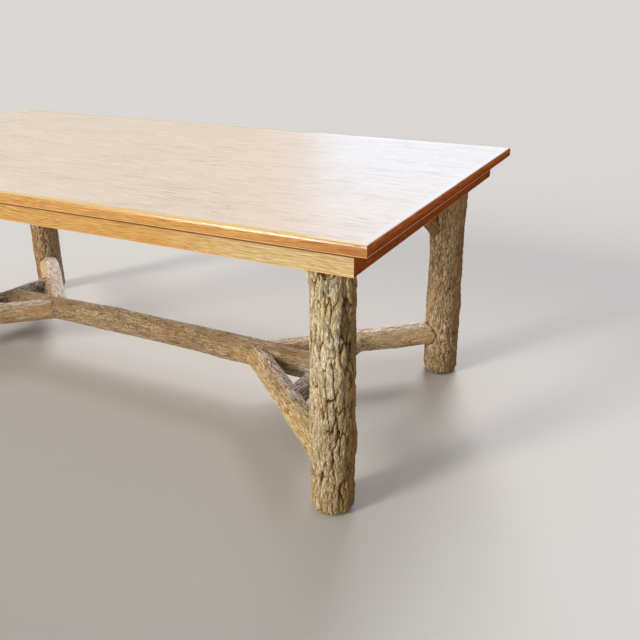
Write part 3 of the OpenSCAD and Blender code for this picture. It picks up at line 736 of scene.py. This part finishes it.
# %% The mesh of a log
# How much closer the rows lie at a rounded end
ROUND_FINER = 2.5
SAWN_STEPS = 6
# A sawn face's rings as shares of its radius, the first close to the rim to keep the edge crisp
SAWN_RINGS = (0.985, *[1 - step / SAWN_STEPS for step in range(2, SAWN_STEPS)])


def grid_faces(rows, columns):
    row, column = np.meshgrid(np.arange(rows - 1), np.arange(columns), indexing="ij")
    here = row * columns + column
    beside = row * columns + (column + 1) % columns
    return np.stack([here, beside, beside + columns, here + columns], -1).reshape(-1, 4)


def log_rows(log, low, high, step):
    """Heights of the rows: even, but closer where an end is rounded."""
    marks = [low]
    while marks[-1] < high - step / 2:
        h = marks[-1]
        close = h < log["start"][1] or h > log["length"] - log["end"][1]
        marks.append(h + (step / ROUND_FINER if close else step))
    return np.array(marks[:-1] + [high])


def log_mesh(log, matrix, low, high, step, cut=None):
    """Vertices, faces and finish values of one log. cut bends the rows at the far end."""
    columns = int(round(math.pi * log["foot_d"] / step))
    a = np.arange(columns)[None, :] * 360 / columns
    h = log_rows(log, low, high, step)[:, None] + 0 * a
    if cut is not None:
        h = low + (h - low) / (high - low) * (cut(a) - low)
    place, local, hollow, tone, facing = log_points(log, matrix, h, a)
    rows = len(place)
    points = [place.reshape(-1, 3)]
    bark_values = np.stack([hollow, tone, facing, 0 * facing], -1)
    values = [np.concatenate([local, bark_values], -1).reshape(rows * columns, -1)]
    faces = [grid_faces(rows, columns)]
    count = rows * columns
    here = np.arange(columns)
    beside = (here + 1) % columns
    for row, turned in ((0, True), (rows - 1, False)):
        rim, rim_local = place[row], local[row]
        middle, middle_local = rim.mean(0), rim_local.mean(0)
        start = row * columns
        for share in SAWN_RINGS:
            points.append(middle + (rim - middle) * share)
            flat = middle_local + (rim_local - middle_local) * share
            values.append(np.column_stack([flat, np.zeros((columns, 3)), np.ones(columns)]))
            quads = np.column_stack([start + here, start + beside, count + beside, count + here])
            faces.append(quads[:, ::-1] if turned else quads)
            start = count
            count += columns
        points.append(middle[None])
        values.append(np.array([[*middle_local, 0, 0, 0, 1]]))
        fan = np.column_stack([start + here, start + beside, np.full(columns, count)])
        faces.append(fan[:, ::-1] if turned else fan)
        count += 1
    return np.concatenate(points), faces, np.concatenate(values)


# %% The object of a log
FINISH_VALUES = ("crack", "plate_tone", "faces_sky", "sawn")


def log_object(name, parts, material):
    """One mesh object from one or more log meshes, with the finish values as attributes."""
    points, faces, values, base = [], [], [], 0
    for part_points, part_faces, part_values in parts:
        points.append(part_points)
        faces += [face + base for face in part_faces]
        values.append(part_values)
        base += len(part_points)
    points, values = np.concatenate(points) * MM, np.concatenate(values)
    mesh = bpy.data.meshes.new(name)
    mesh.from_pydata(points.tolist(), [], [f for block in faces for f in block.tolist()])
    mesh.shade_smooth()
    grain = mesh.attributes.new("grain_place", "FLOAT_VECTOR", "POINT")
    grain.data.foreach_set("vector", (values[:, :3] * MM).astype(np.float32).ravel())
    for column, label in enumerate(FINISH_VALUES, 3):
        attribute = mesh.attributes.new(label, "FLOAT", "POINT")
        attribute.data.foreach_set("value", values[:, column].astype(np.float32))
    mesh.materials.append(material)
    obj = bpy.data.objects.new(name, mesh)
    scene.collection.objects.link(obj)
    print(f"{name}: {len(points)} points, {len(mesh.polygons)} faces")
    return obj


# %% [markdown]
# ## The barks' finish
# Dry bark is matt, and here it has a thin matt lacquer that keeps it from shedding. Its colour
# changes at three scales: from plate to plate, in stains as wide as a hand, and along the fibres,
# which are drawn coarser than they are, to show. The plates' skin breaks into small scales, each
# of its own tone, with hair cracks between them: they are too fine for the mesh, so a cell pattern
# draws them. Specks of pale lichen sit on the plates. Cracks are dark, since dirt and shadow
# gather in them, and their flanks are browner than the plates' tops. The upper back sides of the
# rails are a pale grey, partly weathered and partly a painted sheen of the light from behind. The
# legs' sides away from the key light are painted browner and darker, as painted shading, and
# toward the near leg's foot the grey outer skin is rubbed off. Between the leg and its growth ring
# the near brace is paler, and each tie's end at the back brace is painted paler, a painted pool of
# light. Sawn faces show year rings round the pith instead.

# %% Small scales of bark
# The noise that sways them: its clouds to a scale's width, and its reach in widths
SWAY_CLOUDS, SWAY_BY = 0.6, 1.6


def small_scales(tree, place, width, length):
    """Each small scale's own tone, and the hair cracks between them."""
    sway = add(tree, "TexNoise", {"Vector": place, "Scale": SWAY_CLOUDS / width, "Detail": 2.0})
    sway = add(tree, "VectorMath", {
        0: sway.outputs["Color"], "Scale": SWAY_BY * width,
    }, operation="SCALE").outputs[0]
    swayed = add(tree, "VectorMath", {0: place, 1: sway}, operation="ADD").outputs[0]
    stretched = add(tree, "Mapping", {
        "Vector": swayed, "Scale": (1 / width, 1 / width, 1 / length),
    }).outputs["Vector"]
    cell = {"Vector": stretched, "Scale": 1.0}
    own = add(tree, "TexVoronoi", cell).outputs["Color"]
    edge = add(tree, "TexVoronoi", cell, feature="DISTANCE_TO_EDGE").outputs["Distance"]
    hair_crack = add(tree, "MapRange", {"Value": edge, "From Min": 0.12, "From Max": 0.02})
    return add(tree, "SeparateXYZ", {"Vector": own}).outputs["X"], hair_crack.outputs["Result"]


# %% The bark's material
# The heading of the side painted darker and browner, as painted shading away from the key light
PAINTED_SHADE_HEADING = 25
# The pale grey of the rails' upper back sides: weathering and a painted sheen of the light from behind
WEATHERED_AND_SHEEN, LICHEN = "#F2E9DF", "#D8CDB6"
SAWN_PALE, SAWN_DARK, YEAR_MM = "#C7A878", "#9C7848", 3.5
STAINS_MM, GREYS_MM = (66.67, 66.67, 166.7), (45.45, 45.45, 111.1)
FLAKES_MM, LICHENS_MM = (3.846, 3.846, 6.25), (8.333, 8.333, 11.11)
# Where the noise of the stains is read again, for a pattern that doesn't follow them
ELSEWHERE = (3.1, 1.7, 0.4)
# A fibre's length in widths
FIBRE_LENGTH = 14


def bark(name, dark, pale, stain, grey, flank, crack, fibre_mm, scales_mm, weather_and_sheen=None,
         rubbed=None, patches=(), painted_shade_side=None):
    """dark and pale are tones of the plates, and flank and crack those between them. scales_mm is
    the small scales' width and length, and weather the strength and how far a place must face the
    sky to get a pale grey, partly weathered and partly a painted sheen of the light from behind.
    rubbed is a tint and the heights between which it comes in, each patch is a place, a radius and
    a tint, and lee is painted shading, a darker tint of the side away from the key light."""
    material, tree, shader = new_material(name)
    place = add(tree, "Attribute", attribute_name="grain_place").outputs["Vector"]
    depth, plate_tone, faces_sky, sawn = (
        add(tree, "Attribute", attribute_name=label).outputs["Fac"] for label in FINISH_VALUES
    )
    fibres = clouds(tree, place, (fibre_mm, fibre_mm, fibre_mm * FIBRE_LENGTH), 4.0)["Fac"]
    flakes = clouds(tree, place, FLAKES_MM, 3.0)["Fac"]
    stains = clouds(tree, place, STAINS_MM, 3.0)["Fac"]
    elsewhere = add(tree, "VectorMath", {0: place, 1: ELSEWHERE}, operation="ADD").outputs[0]
    greys = clouds(tree, elsewhere, GREYS_MM, 3.0)["Fac"]
    lichens = clouds(tree, elsewhere, LICHENS_MM, 2.0)["Fac"]
    scale_tone, hair_crack = small_scales(tree, place, *[size * MM for size in scales_mm])

    fibre_tone = add(tree, "MapRange", {"Value": fibres, "From Min": 0.41, "From Max": 0.59})
    tone = weighted_sum(
        tree, (fibre_tone.outputs["Result"], 0.4), (plate_tone, 0.25), (scale_tone, 0.35),
    )
    # A layer's tint and pattern, the values between which it comes in, and the most it shows
    layers = [
        (pale, tone, 0.0, 1.0, 1.0),
        (stain, stains, 0.46, 0.62, 0.75),
        (grey, greys, 0.52, 0.66, 0.8),
    ]
    # Weathered grey and a painted sheen where a place faces the sky behind the table
    if weather_and_sheen:
        strength, start = weather_and_sheen
        facing = weighted_sum(tree, (faces_sky, 1.0), (fibres, 0.6))
        layers.append((WEATHERED_AND_SHEEN, facing, start + 0.25, start + 0.60, strength))
    if rubbed:
        tint, start, end = rubbed
        height = add(tree, "SeparateXYZ", {"Vector": place}).outputs["Z"]
        layers.append((tint, height, start, end, 0.7))
    layers.append((pale, flakes, 0.58, 0.70, 0.45))
    layers.append((LICHEN, lichens, 0.70, 0.76, 0.8))
    for centre, radius, tint in patches:
        far = add(tree, "VectorMath", {0: place, 1: centre}, operation="DISTANCE").outputs["Value"]
        ragged = weighted_sum(tree, (far, 1.0), (fibres, radius))
        layers.append((tint, ragged, 1.5 * radius, radius, 0.75))
    # Painted shading: the side away from the key light is darker and browner
    if painted_shade_side:
        toward = (cosd(PAINTED_SHADE_HEADING), sind(PAINTED_SHADE_HEADING), 0)
        side = add(tree, "VectorMath", {0: place, 1: toward}, operation="DOT_PRODUCT").outputs["Value"]
        layers.append((painted_shade_side, side, 0.005, 0.048, 1.0, "MULTIPLY"))
    layers.append((crack, hair_crack, 0.0, 1.0, 0.5))
    layers.append((flank, depth, 0.10, 0.65, 1.0))
    layers.append((crack, depth, 0.48, 0.96, 1.0))
    colour = linear(dark)
    for tint, *pattern in layers:
        colour = layer(tree, colour, linear(tint), *pattern)

    year = add(tree, "TexWave", {
        "Vector": place, "Scale": 1 / (YEAR_MM * MM) / TURN_PER_METRE, "Distortion": 1.5,
        "Detail": 2.0,
    }, wave_type="RINGS", rings_direction="Z").outputs["Fac"]
    years = layer(tree, linear(SAWN_PALE), linear(SAWN_DARK), year)
    colour = layer(tree, colour, years, sawn)

    rough = add(tree, "MapRange", {"Value": fibres, "To Min": 0.62, "To Max": 0.85})
    height = weighted_sum(tree, (fibres, 1.0), (flakes, 0.6), (scale_tone, 0.5), (hair_crack, -0.6))
    bump = add(tree, "Bump", {"Height": height, "Strength": 0.8, "Distance": 1.4 * MM})
    set_inputs(tree, shader, {
        "Base Color": colour, "Roughness": rough.outputs["Result"],
        "Normal": bump.outputs["Normal"], "Specular IOR Level": 0.15,
    })
    print(name, "in", len(layers), "layers")
    return material


# %% Six kinds of bark
GROWTH_RING, RING_WIDTH = 0.265, 0.003
PALE_END = ((0.0, -0.03, 1.345), 0.050, "#D9CCBA")
YELLOW_JOINT = ((0.0, -0.040, 1.085), 0.040, "#C4AA76")
TAN_END = ((0.0, 0.0, 0.640), 0.050, "#AE9A76")
SOOTY_PATCH = ((0.042, -0.034, 0.515), 0.024, "#5A5244")
LICHEN_PATCH = ((0.018, -0.052, 0.484), 0.010, "#E2D0C2")
# A painted pool of light on each tie's end at the back brace
TIE_END_PAINTED_LIGHT = ((0.0, 0.0, 0.43), 0.085, "#FFDEB2")
FORK_PATCH = ((0.0, 0.0, 1.2), 0.3, "#A87C4E")
# The legs' tint of the side away from the key light is painted shading
khaki = bark(
    "furrowed bark, khaki, matt lacquer", dark="#988156", pale="#FCF4D8", stain="#CEB886",
    grey="#A29A80", flank="#98794E", crack="#342414", fibre_mm=2.2, scales_mm=(6.0, 30),
    rubbed=("#AE9060", 0.50, 0.0), patches=(SOOTY_PATCH, LICHEN_PATCH), painted_shade_side="#DABA90",
)
brown = bark(
    "furrowed bark, brown, matt lacquer", dark="#806444", pale="#F0D8B0", stain="#AC8A5E",
    grey="#A49474", flank="#886844", crack="#342414", fibre_mm=2.0, scales_mm=(7.0, 26),
    patches=(FORK_PATCH,), painted_shade_side="#E0C4A0",
)
tan = bark(
    "young bark, tan, matt lacquer", dark="#846C4E", pale="#E4CEAA", stain="#AC8E66",
    grey="#A08E76", flank="#846A46", crack="#463220", fibre_mm=1.6, scales_mm=(3.8, 44),
    weather_and_sheen=(0.3, 0.70), patches=(PALE_END, YELLOW_JOINT),
)
pale_tan = bark(
    "young bark, pale tan, matt lacquer", dark="#BC9868", pale="#FFEECC", stain="#D8AE76",
    grey="#D0B898", flank="#BA9462", crack="#5C442C", fibre_mm=1.6, scales_mm=(3.8, 44),
    weather_and_sheen=(1.0, 0.42),
)
ringed = bark(
    "young bark, pale below a growth ring, matt lacquer", dark="#A88A60", pale="#FCE6BA",
    stain="#C6A268", grey="#BCA884", flank="#987A50", crack="#3E2C18", fibre_mm=1.6,
    scales_mm=(3.8, 44), weather_and_sheen=(0.75, 0.55), patches=(TAN_END,),
    rubbed=("#DCC48E", GROWTH_RING, GROWTH_RING - RING_WIDTH),
)
streaked = bark(
    "young bark, white streaks, matt lacquer", dark="#563C2A", pale="#FFF6EA", stain="#967450",
    grey="#B8A896", flank="#684A32", crack="#38281A", fibre_mm=2.6, scales_mm=(4.5, 60),
    weather_and_sheen=(0.2, 0.55), patches=(TIE_END_PAINTED_LIGHT,),
)

# %% [markdown]
# ## The logs of the base
# Each leg is a grown trunk about 110 mm thick, sawn square at the top and rounded over at the foot
# so that it doesn't splinter on the floor. The back right one kept the stub of a fork, sawn level
# with its top. One long stem runs the length of the table, close to the floor. At each end two
# braces run from the legs to its sides, and a short tie joins the braces and stops its end. The
# left end is the right end's layout turned half way round. The braces aim at the stretcher's
# bowed axis.

# %% The logs' sizes
LEG_TOP = 698.6
LEG_X, LEG_Y = 923.0, 432.0
LEG_D, LEG_TAPER, LEG_BOW = 109.5, 5.0, 5.0
FORK_HEIGHT, FORK_LEAN, FORK_HEADING, FORK_D, FORK_TAPER = 464, 38, 222, 54, 6
STRETCHER_D, STRETCHER_TAPER, STRETCHER_HEIGHT = 85, 10, 141
STRETCHER_BOW, STRETCHER_HEADING = 8, 153
BRACE_D, BRACE_TAPER, BRACE_REACH, BRACE_BOW = 75, 4, 492, 1
TIE_D = 64
LEFT, RIGHT, LOW, HIGH = -1, 1, -1, 1
LEG_HEADING = {LOW: 293, HIGH: 147}
BRACE_HEIGHT = {LOW: 124, HIGH: 145}
TIE_REACH = {LOW: 245, HIGH: 226}
LEFT_KNOTS = [(600, 160, 38, 6), (380, 320, 34, 5), (190, 60, 44, 4)]
KNOTS = {
    (RIGHT, LOW): [(655, 207, 34, 9), (205, 27, 42, 5), (452, 250, 30, 3), (330, 120, 36, 4)],
    (RIGHT, HIGH): [(FORK_HEIGHT + 40, FORK_HEADING, 50, 5), (250, 30, 40, 4), (130, 300, 36, 3)],
    (LEFT, LOW): LEFT_KNOTS, (LEFT, HIGH): LEFT_KNOTS,
}
STRETCHER_KNOTS = [(520, 140, 40, 3), (1010, 220, 44, 3)]
BRACE_KNOTS = [(200, 130, 30, 2.5), (430, 250, 34, 2.5)]
TIE_KNOTS = [(190, 90, 30, 2)]
# How far in and over what length an end is rounded
FOOT_ROUND, STRETCHER_ROUND = (21, 20), (16, 42)
# Over what length and how far in a stem is rounded where it meets a leg, the stretcher or a brace
AT_LEG, AT_STRETCHER, AT_BRACE = (7, 4), (3, 1.5), (4, 2)
LEG_NAMES = {
    (RIGHT, LOW): "front_right", (RIGHT, HIGH): "back_right",
    (LEFT, HIGH): "front_left", (LEFT, LOW): "back_left",
}

crossing = (BRACE_REACH - TIE_REACH[LOW]) / (2 * BRACE_REACH - TIE_REACH[LOW] - TIE_REACH[HIGH])
STRETCHER_HALF = LEG_X - (TIE_REACH[LOW] + (TIE_REACH[HIGH] - TIE_REACH[LOW]) * crossing)
meeting_turn = 90 * (STRETCHER_HALF - LEG_X + BRACE_REACH) / STRETCHER_HALF
MEETING_HEIGHT = STRETCHER_HEIGHT - STRETCHER_BOW * sind(meeting_turn) * cosd(STRETCHER_HEADING)
print("Stretcher", round(2 * STRETCHER_HALF), "mm long")
print("Braces meet it at", round(float(MEETING_HEIGHT)), "mm")

# %% The logs' places
# What each log adds to the seed of the bark, so that no two look alike
END_SEED, SIDE_SEED, BRACE_SEED, TIE_SEED = 61, 27, 40, 15


def stem(**sizes):
    """A log's sizes, with those of a plain straight stem where none are given."""
    plain = dict(
        bow=0, heading=0, knots=[], ridges=7, start=NO_ROUND, end=NO_ROUND, meets=[], holds=[],
    )
    return {**plain, **sizes}


def end_turn(end):
    return Matrix.Rotation(0 if end == RIGHT else math.pi, 4, "Z")


def leg_seed(end, side):
    return BARK_SEED + END_SEED * end + SIDE_SEED * side


def leg_log(end, side):
    log = stem(
        length=LEG_TOP, foot_d=LEG_D + LEG_TAPER / 2, tip_d=LEG_D - LEG_TAPER / 2, bow=LEG_BOW,
        heading=LEG_HEADING[side], seed=leg_seed(end, side), knots=KNOTS[end, side],
        bark=FURROWED if end * side == LOW else CLOSE, ridges=9, start=FOOT_ROUND,
    )
    return log, end_turn(end) @ Matrix.Translation((LEG_X, side * LEG_Y, 0))


def on_brace(side, reach):
    t = reach / BRACE_REACH
    height = BRACE_HEIGHT[side] + (MEETING_HEIGHT - BRACE_HEIGHT[side]) * t
    return Vector((LEG_X - reach, side * LEG_Y * (1 - t), height))


stretcher = stem(
    length=2 * STRETCHER_HALF, foot_d=STRETCHER_D - STRETCHER_TAPER / 2,
    tip_d=STRETCHER_D + STRETCHER_TAPER / 2, bow=STRETCHER_BOW, heading=STRETCHER_HEADING,
    seed=BARK_SEED, knots=STRETCHER_KNOTS, bark=YOUNG, start=STRETCHER_ROUND, end=STRETCHER_ROUND,
)
stretcher_place = placed((-STRETCHER_HALF, 0, STRETCHER_HEIGHT), (STRETCHER_HALF, 0, STRETCHER_HEIGHT))


def brace_log(end, side):
    start, stop = on_brace(side, 0), on_brace(side, BRACE_REACH)
    log = stem(
        length=(stop - start).length, foot_d=BRACE_D + BRACE_TAPER / 2,
        tip_d=BRACE_D - BRACE_TAPER / 2, bow=BRACE_BOW, heading=90 * side,
        seed=leg_seed(end, side) + BRACE_SEED, knots=BRACE_KNOTS, bark=YOUNG,
        meets=[(*leg_log(end, side), *AT_LEG), (stretcher, stretcher_place, *AT_STRETCHER)],
    )
    return log, end_turn(end) @ placed(start, stop)


def tie_log(end):
    low, high = on_brace(LOW, TIE_REACH[LOW]), on_brace(HIGH, TIE_REACH[HIGH])
    log = stem(
        length=(high - low).length, foot_d=TIE_D, tip_d=TIE_D, seed=leg_seed(end, 0) + TIE_SEED,
        knots=TIE_KNOTS, bark=YOUNG,
        meets=[(*brace_log(end, side), *AT_BRACE) for side in (LOW, HIGH)],
    )
    return log, end_turn(end) @ placed(low, high)


# %% [markdown]
# ## The legs
# A leg's mesh has a point every 1.8 mm, fine enough for its ridges, and the near one's are closer.
# The fork is a second, thinner log that starts inside the leg and is cut off level at its top. Its
# bark pattern is taken a metre further on, where only its own patch of colour lies.

# %% Legs
LEG_STEP, NEAR_STEP, FORK_STEP = 1.8, 1.65, 2.1
FORK_START, FORK_GRAIN = 40, 1000
CUT_GUESS, CUT_TRIES = 200.0, 4
# How dark the seam is round a brace and round the fork
BRACE_SEAM, FORK_SEAM = 0.55, 0.5
FORK = stem(
    length=(LEG_TOP - FORK_HEIGHT) / math.cos(math.radians(FORK_LEAN)) + FORK_D,
    foot_d=FORK_D + FORK_TAPER, tip_d=FORK_D - FORK_TAPER / 2, seed=BARK_SEED, bark=CLOSE,
)
FORK_PLACE = (
    Matrix.Translation((LEG_X, LEG_Y, FORK_HEIGHT))
    @ Matrix.Rotation(math.radians(FORK_HEADING), 4, "Z") @ Matrix.Rotation(math.radians(FORK_LEAN), 4, "Y")
)


def fork_cut(a):
    """Where each column of the fork reaches the level of the leg's top, closer with each try."""
    lean = math.radians(FORK_LEAN)
    h = np.full(a.shape, CUT_GUESS)
    for _ in range(CUT_TRIES):
        r = cad_radius(FORK, h, a)
        h = (LEG_TOP - FORK_HEIGHT + r * cosd(a) * math.sin(lean)) / math.cos(lean)
    return h


for (end, side), place in LEG_NAMES.items():
    log, matrix = leg_log(end, side)
    log["holds"].append((*brace_log(end, side), BRACE_SEAM))
    parts = []
    if (end, side) == (RIGHT, HIGH):
        log["holds"].append((FORK, FORK_PLACE, FORK_SEAM))
        parts.append(log_mesh(FORK, FORK_PLACE, FORK_START, FORK["length"], FORK_STEP, fork_cut))
        parts[0][2][:, 2] += FORK_GRAIN
    near = (end, side) == (RIGHT, LOW)
    parts.append(log_mesh(log, matrix, 0, LEG_TOP, NEAR_STEP if near else LEG_STEP))
    for points, _, _ in parts:
        points[:, 2] = np.minimum(points[:, 2], LEG_TOP)
    leg = log_object(f"bark_leg_{place}", parts, khaki if near else brown)
    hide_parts(f"leg_{place}")
    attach(leg, "root")

# %% [markdown]
# ## The rails
# Each stem runs a little into its neighbour and is rounded in where it meets it, which draws the
# thin dark line of a fitted joint.

# %% Rails
RAIL_STEP = 2.1
RAIL_SEAM = 0.2
IN_LEG, IN_STRETCHER, IN_BRACE = 32, 10, 8
FINISH = {"stretcher": tan, "brace_front_right": ringed}

rails = {"stretcher": (stretcher, stretcher_place, 0, 2 * STRETCHER_HALF)}
for (end, side), place in LEG_NAMES.items():
    log, matrix = brace_log(end, side)
    stretcher["holds"].append((log, matrix, RAIL_SEAM))
    rails[f"brace_{place}"] = (log, matrix, IN_LEG, log["length"] - IN_STRETCHER)
for end, place in ((LEFT, "left"), (RIGHT, "right")):
    log, matrix = tie_log(end)
    rails[f"tie_{place}"] = (log, matrix, IN_BRACE, log["length"] - IN_BRACE)

for node, (log, matrix, low, high) in rails.items():
    finish = FINISH.get(node, streaked if node.startswith("tie") else pale_tan)
    piece = log_object(f"bark_{node}", [log_mesh(log, matrix, low, high, RAIL_STEP)], finish)
    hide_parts(node)
    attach(piece, "root")

# %% [markdown]
# ## Sizes and finish
# The box round the dressed table is printed. The dressed table must stay inside the CAD box.

# %% Sizes and finish
low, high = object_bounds()
print("Visual box:", [round(v, 4) for v in (*low, *high)])
